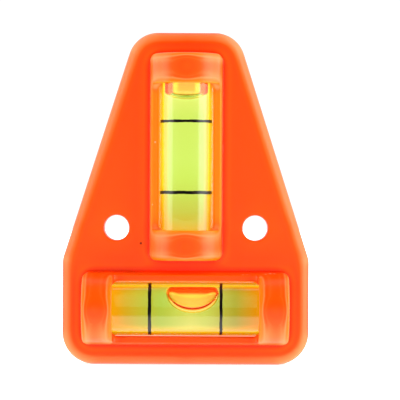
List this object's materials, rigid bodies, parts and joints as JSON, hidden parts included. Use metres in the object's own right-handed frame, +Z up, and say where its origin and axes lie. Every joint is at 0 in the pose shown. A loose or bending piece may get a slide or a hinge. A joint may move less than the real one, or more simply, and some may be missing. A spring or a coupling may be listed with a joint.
{
  "type": "cross spirit level",
  "caption": "Small screw-on cross spirit level: a moulded trapezoid plate that holds a lying and a standing bubble vial at right angles, with two screw holes.",
  "frame": {"origin": "midway between the two screw holes, on the mounting face at the back", "axes": "+Z up as the level hangs on a wall, +X to the right seen from the front, +Y into the wall; the front faces -Y"},
  "size_m": [0.049, 0.014, 0.066],
  "materials": {
    "orange_plastic": "satin moulded styrene plastic, slightly translucent",
    "clear_acrylic": "polished clear acrylic",
    "lime_spirit": "lime yellow dyed spirit",
    "air": "air",
    "black_ink": "pad-printed black ink"
  },
  "bodies": {
    "level": {"body": "orange_plastic", "horizontal_vial_barrel": "clear_acrylic", "horizontal_vial_plug": "clear_acrylic", "horizontal_vial_spirit": "lime_spirit", "horizontal_vial_left_line": "black_ink", "horizontal_vial_right_line": "black_ink", "vertical_vial_barrel": "clear_acrylic", "vertical_vial_plug": "clear_acrylic", "vertical_vial_spirit": "lime_spirit", "vertical_vial_upper_line": "black_ink", "vertical_vial_lower_line": "black_ink"},
    "lying_bubble": {"horizontal_vial_bubble": "air"},
    "standing_bubble": {"vertical_vial_bubble": "air"}
  },
  "joints": [
    {"name": "lying_bubble_slide", "type": "slide", "parent": "level", "child": "lying_bubble", "axis": [1, 0, 0], "range_m": [-0.01245, 0.00965], "stiffness_N_per_m": 0.5, "deforming": ["horizontal_vial_spirit"]},
    {"name": "standing_bubble_slide", "type": "slide", "parent": "level", "child": "standing_bubble", "axis": [0, 0, 1], "range_m": [-0.0276, 0], "stiffness_N_per_m": 0.5, "springref_m": 0.02, "deforming": ["vertical_vial_spirit"]}
  ]
}
